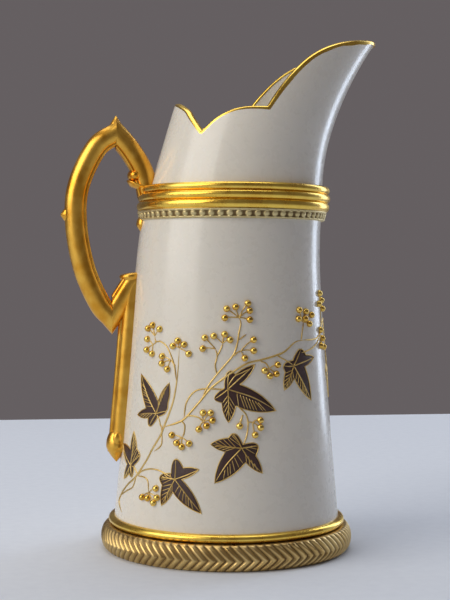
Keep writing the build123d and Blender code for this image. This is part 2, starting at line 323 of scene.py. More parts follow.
def ivory_porcelain():
    """Two tones of ivory that drift into each other, a few dark kiln specks and a faint orange-peel."""
    material, tree, shader, place = new_material("ivory_porcelain")
    drift = group_node(tree, drift_group, Vector=place, Scale=22.0)
    tone = mix_colour(tree, drift.outputs["Broad"], IVORY_WARM, IVORY_COOL)
    cells = add(tree, "ShaderNodeTexVoronoi", Vector=place, Scale=95.0)
    size = noise(tree, place, 60.0, 1.0)
    near = maths(tree, "LESS_THAN", cells.outputs["Distance"], 0.035)
    few = maths(tree, "GREATER_THAN", size, 0.66)
    speck = maths(tree, "MULTIPLY", near, few)
    tree.links.new(mix_colour(tree, speck, tone, SPECK), shader.inputs["Base Color"])
    tree.links.new(between(tree, drift.outputs["Fine"], 0.24, 0.34), shader.inputs["Roughness"])
    shader.inputs["Subsurface Weight"].default_value = 0.12
    shader.inputs["Subsurface Radius"].default_value = (0.004, 0.003, 0.002)
    shader.inputs["Coat Weight"].default_value = 0.35
    shader.inputs["Coat Roughness"].default_value = 0.12
    bump(tree, shader, drift.outputs["Fine"], 0.05, 0.0002)
    return material


# %% Golds
def gold(name, bright, deep, rough, wear, groove=None, lumps=0.05):
    """A fired gilding: metal whose tone and roughness follow the gilder's marks. groove is the colour of a
    painted shade in the hollows that the mesh's own attribute marks; there the gold is also rougher and less
    metallic."""
    material, tree, shader, place = new_material(name)
    marks = group_node(tree, gild_group, Vector=place, Wear=wear)
    tone = mix_colour(tree, marks.outputs["Streak"], deep, bright)
    worn_tone = mix_colour(tree, maths(tree, "MULTIPLY", marks.outputs["Worn"], 0.6), tone, deep)
    roughness = between(tree, marks.outputs["Streak"], rough[0], rough[1])
    if groove:
        # Painted shade: the hollows that the attribute marks are darkened towards the groove colour.
        hollow = add(tree, "ShaderNodeAttribute", {"attribute_name": "groove"}).outputs["Fac"]
        worn_tone = mix_colour(tree, hollow, worn_tone, groove)
        roughness = maths(tree, "ADD", roughness, maths(tree, "MULTIPLY", hollow, 0.3), clamp=True)
        tree.links.new(between(tree, hollow, 1.0, 0.35), shader.inputs["Metallic"])
    else:
        shader.inputs["Metallic"].default_value = 1.0
    tree.links.new(worn_tone, shader.inputs["Base Color"])
    tree.links.new(roughness, shader.inputs["Roughness"])
    bump(tree, shader, marks.outputs["Height"], lumps, 0.0003)
    return material


def leaf_enamel():
    """Dark brown enamel with a plum cast, laid on unevenly, under a soft gloss."""
    material, tree, shader, place = new_material("leaf_enamel")
    drift = group_node(tree, drift_group, Vector=place, Scale=120.0)
    tone = mix_colour(tree, drift.outputs["Broad"], (0.030, 0.012, 0.012, 1), (0.062, 0.026, 0.024, 1))
    colour = mix_colour(tree, drift.outputs["Fine"], tone, (0.045, 0.018, 0.012, 1))
    tree.links.new(colour, shader.inputs["Base Color"])
    tree.links.new(between(tree, drift.outputs["Fine"], 0.32, 0.5), shader.inputs["Roughness"])
    bump(tree, shader, drift.outputs["Fine"], 0.2, 0.0002)
    return material


PORCELAIN = ivory_porcelain()
BURNISHED = gold("burnished_gold", (0.96, 0.68, 0.13, 1), (0.86, 0.53, 0.08, 1), (0.24, 0.32), 0.2)
HANDLE = gold("handle_gold", (0.90, 0.53, 0.09, 1), (0.74, 0.35, 0.035, 1), (0.28, 0.36), 0.2)
RAISED = gold("raised_gold", (0.92, 0.66, 0.17, 1), (0.72, 0.44, 0.08, 1), (0.18, 0.28), 0.2)
LINES = gold("line_gold", (0.84, 0.62, 0.24, 1), (0.62, 0.42, 0.13, 1), (0.34, 0.46), 0.2)
# The old gold's last colour is a painted shade for the rope's grooves.
OLD = gold("old_gold", (0.76, 0.56, 0.24, 1), (0.60, 0.40, 0.14, 1), (0.26, 0.38), 0.2, (0.10, 0.05, 0.02, 1))
PEARL_GAP_SHADE = (0.20, 0.13, 0.05, 1)  # painted shade between the pearls
PALE = gold("pale_gold", (0.74, 0.62, 0.33, 1), (0.62, 0.50, 0.24, 1), (0.42, 0.52), 0.2, PEARL_GAP_SHADE)
ENAMEL = leaf_enamel()
print("materials:", [m.name for m in bpy.data.materials])

# %% [markdown]
# ## Body and floor
#
# The body is a tube with an inside as well as an outside, so the light falls down into it as it does in the
# real jug. A closed profile (up the outer face, over the top, down the inner face) is carried round the
# wall's formula. The floor is a disc set up inside the foot, slightly dished as a turned base is.

# %% Body
ROUND = 288  # columns round the jug


def body_tube():
    """Profile of (offset, height) carried round the wall: outer face, top edge, inner face, bottom edge."""
    up = np.linspace(FLOOR_LOW, SHOULDER, 120)
    down = np.linspace(SHOULDER, FLOOR_LOW, 50)
    offset = np.concatenate([np.zeros(len(up)), np.full(len(down), -WALL)])
    height = np.concatenate([up, down])
    angle = np.linspace(0, 360, ROUND, endpoint=False)
    return wall(angle[None, :], height[:, None], offset[:, None])


dress(surface("body_wall", body_tube(), sharp=60), PORCELAIN, "ivory_porcelain", "body_wall")


def floor_disc():
    """Rings from the middle of the top face out to the wall and back under: the top dips by 0.3 mm."""
    share = np.concatenate([np.linspace(0, 1, 24), np.linspace(1, 0, 24)])
    top = np.arange(48) < 24
    height = np.where(top, FLOOR_HIGH - 0.3 * (1 - share**2), FLOOR_LOW + 0.5 * (1 - share**4))
    angle = np.linspace(0, 360, 144, endpoint=False)
    rim = wall(angle[None, :], height[:, None], -WALL)
    middle = np.stack([np.zeros(48), np.zeros(48), height], -1)[:, None, :]
    return middle + (rim - middle) * share[:, None, None]


dress(surface("body_floor", floor_disc(), wrap_rows=False), PORCELAIN, "ivory_porcelain", "body_floor")

# %% [markdown]
# ## Neck and spout
#
# The rim is the jug's signature: level by the waist, a sharp notch on each side of a pointed lobe over the
# handle, and a long sweep up to the spout. Its height is a smooth line through a few points, broken at the
# two sharp corners. The neck is a grid whose rows share out the height under that rim, and the lip rolls
# over in a half circle, because a fired edge is always soft.

# %% The rim's line
# Each stretch between two sharp corners: (angles, heights)
SPOUT_SWEEP = ((0, 30, 50, 62, 71, 78, 85, 91), (150, 148.9, 147.6, 146, 143.7, 140.3, 134.6, 127.3))
WAIST_LOBE = ((91, 99, 107, 115, 124, 132.5), (127.3, 127.3, 127.1, 126.3, 124.2, 120.4))
BACK_LOBE = ((132.5, 139.5, 147, 155, 168, 180), (120.4, 122.7, 125.1, 127.4, 129.2, 130.2))
LIP_TOP = 0.45  # the rolled edge stands this much above the line


def rim_line():
    """Angles and heights right round the rim, with a column exactly at each sharp corner."""
    angles, heights = [], []
    for (a, h), count in ((SPOUT_SWEEP, 90), (WAIST_LOBE, 44), (BACK_LOBE, 52)):
        line = smooth_through(np.stack([a, h], -1), count)
        angles.append(line[:-1, 0])
        heights.append(line[:-1, 1])
    angles = np.concatenate([*angles, [180.0]])
    heights = np.concatenate([*heights, [BACK_LOBE[1][-1]]])
    back = slice(-2, 0, -1)
    return np.concatenate([angles, 360 - angles[back]]), np.concatenate([heights, heights[back]]) - LIP_TOP


RIM_ANGLE, RIM_HEIGHT = rim_line()
print("rim from", RIM_HEIGHT.min().round(1), "to", RIM_HEIGHT.max().round(1), "mm")


def unit(v):
    """Vectors scaled to length one."""
    return v / np.maximum(np.linalg.norm(v, axis=-1, keepdims=True), 1e-9)


def rim_frame():
    """At each column: the rim point, the way in through the wall, and the way up out of it, which is
    square to both the rim's own direction and the way in."""
    edge = wall(RIM_ANGLE, RIM_HEIGHT)
    inner = wall(RIM_ANGLE, RIM_HEIGHT, -1.0)
    inward = unit(inner - edge)
    along = unit(np.roll(edge, -1, 0) - np.roll(edge, 1, 0))
    up = unit(np.cross(along, inward))
    up *= np.sign(up[:, 2:])
    return edge, inward, up


RIM_EDGE, RIM_IN, RIM_UP = rim_frame()
LIP_WALL = 2.1


def lip(turn, grow=0.0):
    """The rolled edge: a half ellipse across the wall. turn runs from 0 at the outer face to 180 degrees
    at the inner one, and grow lifts it off the porcelain."""
    t = np.radians(turn)[:, None, None]
    middle = RIM_EDGE + RIM_IN * LIP_WALL / 2
    across = -RIM_IN * np.cos(t) * (LIP_WALL / 2 + grow)
    return middle[None] + across + RIM_UP[None] * np.sin(t) * (LIP_TOP + grow)


def neck_shell():
    """Outer face from the shoulder to the rim, the rolled lip, and the inner face back down."""
    share = np.linspace(0, 1, 64)[:-1, None]
    height = SHOULDER + (RIM_HEIGHT[None, :] - SHOULDER) * share
    outer = wall(RIM_ANGLE[None, :], height)
    thick = WALL + (LIP_WALL - WALL) * share
    inner = wall(RIM_ANGLE[None, :], height, -thick)[::-1]
    return np.concatenate([outer, lip(np.linspace(0, 180, 13)), inner])


dress(surface("neck_and_spout", neck_shell(), sharp=70), PORCELAIN, "ivory_porcelain", "neck_and_spout")

# %% [markdown]
# ## The gilt lip
#
# A band of gold runs along the whole edge. It is painted by hand, so its lower border wanders a little. It
# is built as a thin strip that follows the rolled lip a twentieth of a millimetre proud of it, laps down
# the outer face, and closes on itself just inside the porcelain.

# %% Gilt lip
GILT = 0.06
LAP_OUT, LAP_IN = 0.75, 0.35


def gilt_lip():
    """Rows: the outer lap, the rolled lip, the inner lap, then the same way back inside the porcelain."""
    wander = 0.12 * np.sin(np.radians(RIM_ANGLE) * 9 + 1) + 0.09 * np.sin(np.radians(RIM_ANGLE) * 23)
    lap_out = RIM_EDGE - RIM_IN * GILT - RIM_UP * (LAP_OUT + wander)[:, None]
    foot_out = RIM_EDGE + RIM_IN * 0.25 - RIM_UP * (LAP_OUT + wander - 0.08)[:, None]
    lap_in = RIM_EDGE + RIM_IN * (LIP_WALL + GILT) - RIM_UP * LAP_IN
    foot_in = RIM_EDGE + RIM_IN * (LIP_WALL - 0.25) - RIM_UP * LAP_IN
    return np.concatenate(
        [lap_out[None], lip(np.linspace(0, 180, 15), GILT), lap_in[None], foot_in[None], foot_out[None]]
    )


dress(surface("rim_gilding", gilt_lip(), sharp=70), BURNISHED, "gilt_porcelain", "rim_gilding")


# %% [markdown]
# ## Turned rings
#
# The bead over the foot and the three reeds of the collar are plain turned rings, so each is a closed
# profile carried round a circle. The rope and the pearl band start the same way, and then a pattern worked
# out from the angle and from the place on the profile presses their surface in.

# %% Ring helper, bead and collar
def ring(radius, height, columns, centre=0.0, press=None):
    """Carries a closed profile round a circle. press is how far each point is pushed towards the axis."""
    angle = np.radians(np.linspace(0, 360, columns, endpoint=False))[None, :]
    r = np.asarray(radius)[:, None] - (0 if press is None else press)
    z = np.broadcast_to(np.asarray(height)[:, None], (len(radius), columns))
    return np.stack([centre + r * np.cos(angle), -r * np.sin(angle), z], -1)


def arc(centre_r, centre_z, size_r, size_z, start, end, count):
    """Points on an ellipse in (radius, height), from one angle to another."""
    t = np.radians(np.linspace(start, end, count))
    return np.stack([centre_r + size_r * np.cos(t), centre_z + size_z * np.sin(t)], -1)


ROPE_HIGH, BEAD_HIGH = 7.3, 9.8
BEAD_MIDDLE = (ROPE_HIGH + BEAD_HIGH) / 2
bead_arc = arc(33.2, BEAD_MIDDLE, 1.6, (BEAD_HIGH - ROPE_HIGH) / 2, -88, 88, 26)
bead_profile = np.concatenate([[[32.4, ROPE_HIGH]], bead_arc, [[32.4, BEAD_HIGH - 0.3]]])
dress(surface("foot_bead_ring", ring(*bead_profile.T, ROUND)), BURNISHED, "gilt_porcelain", "foot_bead_ring")

# Each reed: (lowest, highest, crest radius, centre)
REEDS = ((98.7, 101.35, 28.4, 1.5), (101.35, 103.75, 28.4, 1.8), (103.75, 106.0, 27.9, 2.1))


def reed(low, high, crest, centre):
    """One reed: a bulge wider than it is deep, closed inside the wall. The reeds follow the neck's lean."""
    bulge = arc(crest - 1.05, (low + high) / 2, 1.05, (high - low) / 2 + 0.03, -84, 84, 22)
    profile = np.concatenate([[[24.0, low]], bulge, [[24.0, high]]])
    return ring(*profile.T, ROUND, centre)


collar_rings = surface("neck_collar", [reed(*sizes) for sizes in REEDS])
dress(collar_rings, BURNISHED, "gilt_porcelain", "neck_collar")

# %% [markdown]
# ## The rope foot
#
# The foot is moulded as a rope with a herringbone twist: about ninety ribs, each bent like an arrowhead
# that points one way round. A rib is a bump in the angle. Sliding that bump sideways as it climbs, first
# forwards and then back, bends it into the arrowhead. The grooves carry a mask for painted shade and a
# rougher, less metallic gold.

# %% Rope foot
RIBS = 94
RIB_DEPTH = 0.85
ARROW_AT = 0.42  # the arrow's point, as a share of the way up
ARROW_REACH = 1.55  # how far the point runs ahead, in ribs


def rope_foot():
    """A bulging profile whose outer face is pressed in between ribs: each rib is rounded by an even power
    of the place across it, and it slides by the distance from the arrow's point."""
    face = arc(34.9, ROPE_HIGH / 2, 2.1, ROPE_HIGH / 2, -78, 80, 34)
    profile = np.concatenate([[[31.2, 0.0], [34.4, 0.0]], face, [[33.0, ROPE_HIGH], [31.4, 2.0]]])
    columns = RIBS * 14
    turn = np.linspace(0, 1, columns, endpoint=False)[None, :]
    climb = np.clip((profile[:, 1:] - 0.3) / (ROPE_HIGH - 0.6), 0, 1)
    above_point = (climb - ARROW_AT) / (1 - ARROW_AT)
    below_point = (ARROW_AT - climb) / ARROW_AT * 0.75
    slide = np.where(climb > ARROW_AT, above_point, below_point)
    across = (turn * RIBS - ARROW_REACH * slide) % 1.0
    hollow = np.abs(2 * across - 1) ** 2.2
    on_face = np.zeros((len(profile), 1))
    on_face[2:-2] = 1.0
    edge = np.clip(np.minimum(climb, 1 - climb) * 9 + 0.25, 0, 1)
    # The second value is the mask for the painted shade in the grooves, which also dulls the gold there.
    return ring(*profile.T, columns, press=RIB_DEPTH * hollow * on_face * edge), hollow**1.5 * on_face


rope_points, rope_shade_mask = rope_foot()
dress(surface("foot_rope_ring", rope_points, mask=rope_shade_mask), OLD, "old_gold", "foot_rope_ring")

# %% [markdown]
# ## The pearl band
#
# Under the collar hangs a narrow matt band with a row of small pearls between two plain edges. The pearls
# are oval bumps in the ring's surface, and the ground between them is the groove, darkened with painted
# shade.

# %% Pearl band
PEARLS = 66


def pearl_band():
    """A shallow channel round the band, filled with half-ellipsoid bumps."""
    face = np.stack([np.linspace(27.3, 27.9, 26), np.linspace(96.15, 98.68, 26)], -1)
    profile = np.concatenate([[[24.0, 96.0], [26.9, 96.0]], face, [[24.0, 98.7]]])
    columns = PEARLS * 16
    turn = (np.linspace(0, PEARLS, columns, endpoint=False) % 1.0 - 0.5)[None, :]
    climb = ((profile[:, 1:] - 97.35) / 0.85)
    round_off = np.sqrt(np.clip(1 - (turn / 0.36) ** 2 - (climb / 1.1) ** 2, 0, 1))
    channel = np.clip((1 - np.abs(climb)) * 5, 0, 1)
    press = 0.42 * channel - 0.5 * round_off
    on_face = np.zeros((len(profile), 1))
    on_face[2:-1] = 1.0
    # hollow is the mask for the painted shade on the ground between the pearls.
    hollow = channel * (1 - np.clip(round_off * 2.2, 0, 1))
    return ring(*profile.T, columns, 1.2, press=press * on_face), hollow * on_face


pearl_points, pearl_shade_mask = pearl_band()
dress(
    surface("collar_beaded_band", pearl_points, mask=pearl_shade_mask), PALE, "pale_gold", "collar_beaded_band"
)

# %% [markdown]
# ## The handle
#
# The handle is bent from one bar with a round back and a hollowed inner side, mitred to a sharp peak above
# and to a pointed corner below, as a carpenter mitres a frame. The bar's section is carried along a smooth
# line in the jug's middle plane. Where a ring of the section would pass the mitre, its points slide back
# along the bar until they lie on the mitre's plane, which gives the crisp ridge of the real joint.

# %% The bar
HALF_WIDTH, BACK = 3.1, 3.3


def bar_section(count=64):
    """The section as (across, outwards): a round back that takes up most of the depth, one fine groove on
    each side, and a slightly hollow inner face."""
    back = np.radians(np.linspace(-38, 218, count // 2))
    round_back = np.stack([HALF_WIDTH * np.cos(back), BACK * np.sin(back)], -1)
    groove = [(-2.3, -2.1), (-2.05, -2.1), (-2.2, -2.4), (-2.05, -2.8)]
    flank = [*groove, (-1.5, -3.05), (-0.8, -2.9), (-0.2, -2.85)]
    flank = smooth_through(np.array(flank), count // 4)
    return np.concatenate([round_back, flank, (flank * (-1, 1))[::-1]])


def bar(line, count, section, mitres=()):
    """Carries the section along a line of (x, z) points. mitres are (x, side, z_low, z_high): points past
    the plane at x, on that side and between those heights, slide back along the bar onto it."""
    path = smooth_through(line, count)
    along = unit(np.gradient(path, axis=0))
    outward = np.stack([-along[:, 1], along[:, 0]], -1)
    n = section[None, :, 1]
    across = section[None, :, 0]
    x = path[:, :1] + outward[:, :1] * n
    z = path[:, 1:] + outward[:, 1:] * n
    for plane, side, z_low, z_high in mitres:
        past = np.maximum((x - plane) * side, 0) * ((path[:, 1:] > z_low) & (path[:, 1:] < z_high))
        step = past * side / np.where(np.abs(along[:, :1]) < 0.05, 1, along[:, :1])
        x, z = x - along[:, :1] * step, z - along[:, 1:] * step
    return np.stack([x, np.broadcast_to(across, x.shape), z], -1)


def closed_bar(points):
    """Closes both ends of a bar by adding its end rings again, shrunk to their middle."""
    first = np.broadcast_to(points[0].mean(0), points[0].shape)
    last = np.broadcast_to(points[-1].mean(0), points[-1].shape)
    return np.concatenate([first[None], points, last[None]])


PEAK_X, CORNER_X = -33.2, -34.2
ARM_LINE = ((-36.4, 124.2), (-33.2, 121.0), (-29.0, 116.2), (-25.4, 110.0), (-23.6, 103.0))
BOW_LINE = (
    (-31.4, 64.6),
    (-34.2, 67.8),
    (-37.7, 71.9),
    (-42.1, 81.8),
    (-44.5, 94.5),
    (-43.9, 105.6),
    (-38.8, 116.7),
    (-33.2, 120.9),
    (-29.8, 123.4),
)
STRUT_LINE = ((-27.9, 78.5), (-30.6, 74.2), (-34.2, 68.4), (-37.4, 63.6))
section = bar_section()
arm = closed_bar(bar(ARM_LINE, 70, section, [(PEAK_X, -1, 100, 140)]))
bow = closed_bar(bar(BOW_LINE, 200, section, [(PEAK_X, 1, 100, 140), (CORNER_X, 1, 40, 90)]))
strut = closed_bar(bar(STRUT_LINE, 60, section, [(CORNER_X, -1, 40, 90)]))
GILT_SLOT = "gilt_porcelain"
for name, points in (("handle_upper_arm", arm), ("handle_bow", bow), ("handle_lower_strut", strut)):
    dress(surface(name, points, wrap_rows=False, sharp=50), HANDLE, GILT_SLOT, name)

# %% [markdown]
# ## Strap and buds
#
# A strap runs from the lower corner down the back of the body and ends in a drooping bud. Small buds sit
# on the peak, on the thumb's place and under the collar, and a flared cup with a ball in it sits where the
# upper arm meets the collar. They are lumps of clay pressed on by hand, so most are balls pulled about by a
# formula. The cup and the cap on the strap's head are turned about a slanting line.

# %% Strap
STRAP_LOW, STRAP_HIGH = 28.5, 79.0


def strap_bar():
    """A thin bead between two fine grooves, on a broad round back: the outline is put together from arcs
    across the strap, and it is carried down the wall at the handle."""
    t = np.linspace(-1, 1, 81)
    bead = 3.1 + 0.9 * np.sqrt(np.clip(1 - (t / 0.34) ** 2, 0, 1))
    broad = 0.6 + 2.5 * np.sqrt(np.clip(1 - ((np.abs(t) - 0.42) / 0.6) ** 2, 0, 1))
    proud = np.where(np.abs(t) < 0.34, bead, np.where(np.abs(t) < 0.42, 2.4, broad))
    height = np.linspace(STRAP_LOW, STRAP_HIGH, 90)[:, None]
    across = 3.05 * t[None, :]
    r = half_length(height)
    base = -np.sqrt(r**2 - across**2)
    across, height = np.broadcast_to(across, base.shape), np.broadcast_to(height, base.shape)
    outer = np.stack([base - proud[None, :], across, height], -1)
    inner = np.stack([base + 0.4, across, height], -1)
    return np.concatenate([outer, inner[:, ::-1]], 1)


strap = surface("handle_strap", closed_bar(strap_bar()), wrap_rows=False, sharp=50)
dress(strap, HANDLE, GILT_SLOT, "handle_strap")


# %% Buds
def bud(centre, size, pull=None, rows=40, columns=48):
    """A ball stretched to three half sizes. pull changes its unit points (x, y, z) before the stretch."""
    up = np.radians(np.linspace(-90, 90, rows))[:, None]
    turn = np.radians(np.linspace(0, 360, columns, endpoint=False))[None, :]
    p = np.stack([np.cos(up) * np.cos(turn), np.cos(up) * np.sin(turn), np.sin(up) + 0 * turn], -1)
    if pull:
        p = pull(p)
    return np.asarray(centre) + p * np.asarray(size)


def droop(p):
    """Narrows downwards to a point."""
    x, y, z = np.moveaxis(p, -1, 0)
    w = np.where(z < -0.1, np.clip((1 + z) / 0.9, 0, 1) ** 0.45, 1.0)
    return np.stack([x * w, y * w, z], -1)


def flame(p):
    """Narrows upwards to a point."""
    x, y, z = np.moveaxis(p, -1, 0)
    w = np.where(z > -0.2, np.clip(1 - (z + 0.2) / 1.2, 0, 1) ** 0.6, 1.0)
    return np.stack([x * w, y * w, z], -1)


def thorn(p):
    """Narrows away from the handle to a soft ridge."""
    x, y, z = np.moveaxis(p, -1, 0)
    w = 1 - 0.62 * np.clip(-x, 0, 1) ** 1.2
    return np.stack([x, y * w, z * w], -1)


def turned_bud(foot, axis, profile, count=48):
    """A lathe shape about a slanting line in the middle plane. profile is (distance along, radius)."""
    along = np.array([axis[0], 0, axis[1]]) / np.hypot(*axis)
    aside = np.array([along[2], 0, -along[0]])
    turn = np.radians(np.linspace(0, 360, count, endpoint=False))[None, :, None]
    far, radius = np.array(profile, float).T
    spokes = np.cos(turn) * aside + np.sin(turn) * (0, 1, 0)
    return np.array([foot[0], 0, foot[1]]) + far[:, None, None] * along + radius[:, None, None] * spokes


# Profiles as (distance along, radius)
CUP = ((1.0, 0), (1.0, 2.0), (1.6, 2.8), (2.1, 3.4), (2.4, 3.3), (2.5, 2.0), (2.5, 0))
CAP = ((0, 0), (0, 2.6), (1.0, 2.8), (2.0, 3.4), (2.8, 3.5), (3.2, 3.2), (3.5, 1.6), (3.55, 0))
BALL = bud((-27.6, 0, 109.0), (2.2, 3.2, 2.0))
BOSS = (1.3, 0.9, 2.0)
BUDS = {
    "handle_terminal_bud": [bud((-32.7, 0, 30.3), (3.0, 3.4, 4.95), droop, 48, 48), *(
        bud((-32.6, 2.75 * side, 32.4), BOSS, None, 48, 48) for side in (-1, 1))],
    "handle_strap_head": [turned_bud((-28.2, 77.2), (-0.12, 1), CAP)],
    "handle_peak_finial": [bud((-33.2, 0, 123.7), (1.9, 2.0, 2.7), flame)],
    "handle_thumb_bud": [bud((-47.6, 0, 97.4), (1.5, 1.6, 2.1), thorn)],
    "handle_spur_scroll": [turned_bud((-27.6, 104.3), (0.35, 0.94), CUP), BALL],
    "collar_pendant_bud": [bud((-25.3, 0, 94.8), (1.8, 2.3, 2.6), droop)],
}
for name, points in BUDS.items():
    dress(surface(name, points, wrap_rows=False), HANDLE, GILT_SLOT, name)


# %% [markdown]
# ## Drawing on the wall
#
# Leaves, stems and veins are all drawn flat first, in millimetres along and up the wall from a chosen
# place, and then wrapped: the distance along becomes an angle, the distance up becomes a height, and the
# thickness of the paint becomes the distance off the wall. A stroke of raised gold is a low rounded strip,
# thin at both ends like a brush stroke.

# %% Wrapping and brush strokes
def wrap(flat, angle, height, out):
    """Flat points (along, up) about a place on the wall, lifted by out. Along runs to smaller angles."""
    z = height + flat[..., 1]
    degrees = np.degrees(flat[..., 0] / half_length(z))
    return wall(angle - degrees, z, out)


# The section of a stroke as (across, up), in shares of its half width and of its rise
STROKE = np.array(
    [(-1, -0.35), (-0.9, 0.35), (-0.5, 0.85), (0, 1), (0.5, 0.85), (0.9, 0.35), (1, -0.35), (0, -0.5)]
)


def stroke(line, width, rise, taper=0.6, start=0.35):
    """A strip about a flat line. It is width wide in the middle, start times that at its beginning, and
    thins to a point over the last part of its length."""
    along = unit(np.gradient(line, axis=0))
    side = np.stack([-along[:, 1], along[:, 0]], -1)
    t = np.linspace(0, 1, len(line))
    size = np.clip(t / 0.12 + start, 0, 1) * np.clip((1 - t) / (1 - taper + 1e-6), 0.04, 1) ** 0.5
    half = width / 2 * size
    flat = line[:, None, :] + side[:, None, :] * (STROKE[None, :, :1] * half[:, None, None])
    lift = rise * STROKE[None, :, 1] * size[:, None]
    return flat, lift


def wrapped_strokes(strokes, angle=0.0, height=0.0):
    """Strokes as closed bars on the wall."""
    return [closed_bar(wrap(flat, angle, height, lift)) for flat, lift in strokes]


# %% [markdown]
# ## Ivy leaves
#
# An ivy leaf has five lobes about the place where its stalk joins, some pointed and some blunt. Each lobe
# has convex sides, which run out to a fine tip on the pointed ones. The enamel is a low cushion inside that
# outline. The gilder then draws the outline, a vein to every tip, and short slanting strokes from some of
# the veins out to the edge.

# %% Leaves
# Each leaf: angle, height and its lobes. A lobe is the heading and reach of its tip, 1 if it is blunt, the
# heading and reach of the notch after it, and its hatching: 1 or -1 for one side, 2 for both. A heading
# of 0 runs to smaller angles and 90 is up.
LEAVES = (
    (140, 41.5, ((15, 3.5, 1, 39, 5, 0), (66, 9.5, 0, 84, 3.5, 1), (127, 13, 0, 166, 4.5, 1),
        (187, 8.5, 0, 205, 3.5, 1), (235, 4.5, 1, 307, 1, 0))),
    (159, 26, ((35, 5.5, 1, 61, 5.5, 1), (89, 9.5, 0, 103, 4.5, -1), (148, 9.5, 0, 183, 2.5, 0),
        (227, 6, 0, 254, 2.5, 1), (291, 3.5, 0, 7, 2, 0))),
    (126, 24, ((24, 7.5, 0, 54, 4, 0), (91, 5.5, 1, 130, 2, 0), (178, 5, 1, 205, 4.5, 2),
        (242, 8.5, 0, 261, 3.5, 2), (313, 12, 0, 4, 2, -1))),
    (99, 49, ((42, 10, 0, 64, 4.5, 0), (85, 5, 1, 163, 1, 0), (216, 4.5, 1, 245, 4, 0),
        (271, 9, 0, 295, 5, 2), (336, 15, 0, 22, 3.5, -1))),
    (92, 33, ((10, 4.5, 1, 71, 1, -1), (119, 4.5, 1, 142, 4.5, 1), (173, 8.5, 0, 192, 4.5, 2),
        (232, 12, 0, 286, 4, 1), (310, 9, 0, 331, 4.5, -1))),
    (60, 55, ((12, 9.5, 0, 27, 6, 0), (55, 5.5, 1, 98, 1.5, 0), (178, 3.5, 1, 208, 3.5, 0),
        (241, 7.5, 0, 270, 3.5, 2), (304, 12, 0, 355, 4.5, -1))),
    (14, 53.5, ((40, 8, 0, 62, 4, 0), (90, 5, 1, 150, 1.5, 0), (205, 4.5, 1, 232, 4, 0),
        (262, 9, 0, 285, 4, 2), (325, 12, 0, 12, 3.5, -1))),
    (236, 35, ((20, 5, 1, 52, 4, 0), (92, 12, 0, 122, 4, 1), (152, 9, 0, 178, 3.5, 2),
        (222, 5, 1, 255, 2, 0), (300, 4.5, 1, 340, 3.5, 0))),
    (266, 49, ((30, 8.5, 0, 55, 4, 0), (85, 5, 1, 140, 1.5, 0), (190, 4.5, 1, 215, 4, 0),
        (250, 8.5, 0, 275, 4, 2), (310, 12.5, 0, 2, 3.5, -1))),
    (322, 57, ((15, 5, 1, 80, 1, 0), (125, 5, 1, 148, 4, 1), (178, 8.5, 0, 200, 4, 2),
        (238, 11.5, 0, 288, 4, 1), (312, 9, 0, 338, 4, 0))),
)
ENAMEL_RISE = 0.16


def polar(heading, reach):
    """A flat point at a heading in degrees and a distance."""
    h = np.radians(heading)
    return np.stack([np.cos(h) * reach, np.sin(h) * reach], -1)


def lobe_side(notch, tip, blunt, side):
    """A quadratic curve from a notch to a tip. Its middle point stands off the chord by a share of the
    chord's length: near the tip on a blunt lobe, and halfway on a pointed one, which leaves a fine point."""
    share, bulge = (0.82, 0.26) if blunt else (0.52, 0.15)
    chord = tip - notch
    square = np.array([chord[1], -chord[0]]) * side
    middle = notch + chord * share + square * bulge
    t = np.linspace(0, 1, 14)[:, None]
    return (1 - t) ** 2 * notch + 2 * t * (1 - t) * middle + t**2 * tip


def leaf_sides(lobes):
    """For each lobe its tip and its two sides, each from a notch to the tip."""
    sides = []
    for before, lobe in zip((lobes[-1], *lobes[:-1]), lobes):
        tip = polar(lobe[0], lobe[1])
        first = lobe_side(polar(before[3], before[4]), tip, lobe[2], 1)
        second = lobe_side(polar(lobe[3], lobe[4]), tip, lobe[2], -1)
        sides.append((tip, first, second, lobe[5]))
    return sides


def leaf_outline(sides):
    """The closed outline, lobe by lobe: out from one notch to the tip and back to the next notch."""
    return np.concatenate([part for _, first, second, _ in sides for part in (first[:-1], second[::-1][:-1])])


def leaf_blade(outline):
    """Rings from the middle out to the outline and back underneath. The cushion is full in the middle and
    falls to nothing at the edge."""
    share = np.concatenate([np.linspace(0, 1, 9), [1.0, 0.0]])
    lift = ENAMEL_RISE * np.concatenate([np.sqrt(np.clip(1 - share[:9] ** 6, 0, 1)), [-0.3, -0.3]])
    return outline[None] * share[:, None, None], np.broadcast_to(lift[:, None], (11, len(outline)))


def leaf_gold(sides, outline, rng):
    """Outline, veins and slanting hatching, as strokes on top of the enamel."""
    closed = np.concatenate([outline, outline[:2]])
    strokes = [stroke(closed, 0.30, 0.24, taper=0.999, start=1.0)]
    for tip, first, second, hatching in sides:
        bend = np.array([-tip[1], tip[0]]) * 0.05 * rng.uniform(-1, 1)
        vein = smooth_through(np.stack([tip * 0.0, tip * 0.5 + bend, tip * 1.03]), 18)
        strokes.append(stroke(vein, 0.42, 0.36, taper=0.5, start=0.6))
        chosen = {0: (), 1: (second,), -1: (first,), 2: (first, second)}[hatching]
        count = max(int(np.hypot(*tip) * 0.55), 3)
        for edge in chosen:
            for share in np.linspace(0.15, 0.80, count):
                root = tip * (0.08 + 0.66 * share)
                end = edge[int(share * 13)] * 0.98
                strokes.append(stroke(np.linspace(root, end, 5), 0.30, 0.3, taper=0.75, start=0.8))
    return strokes


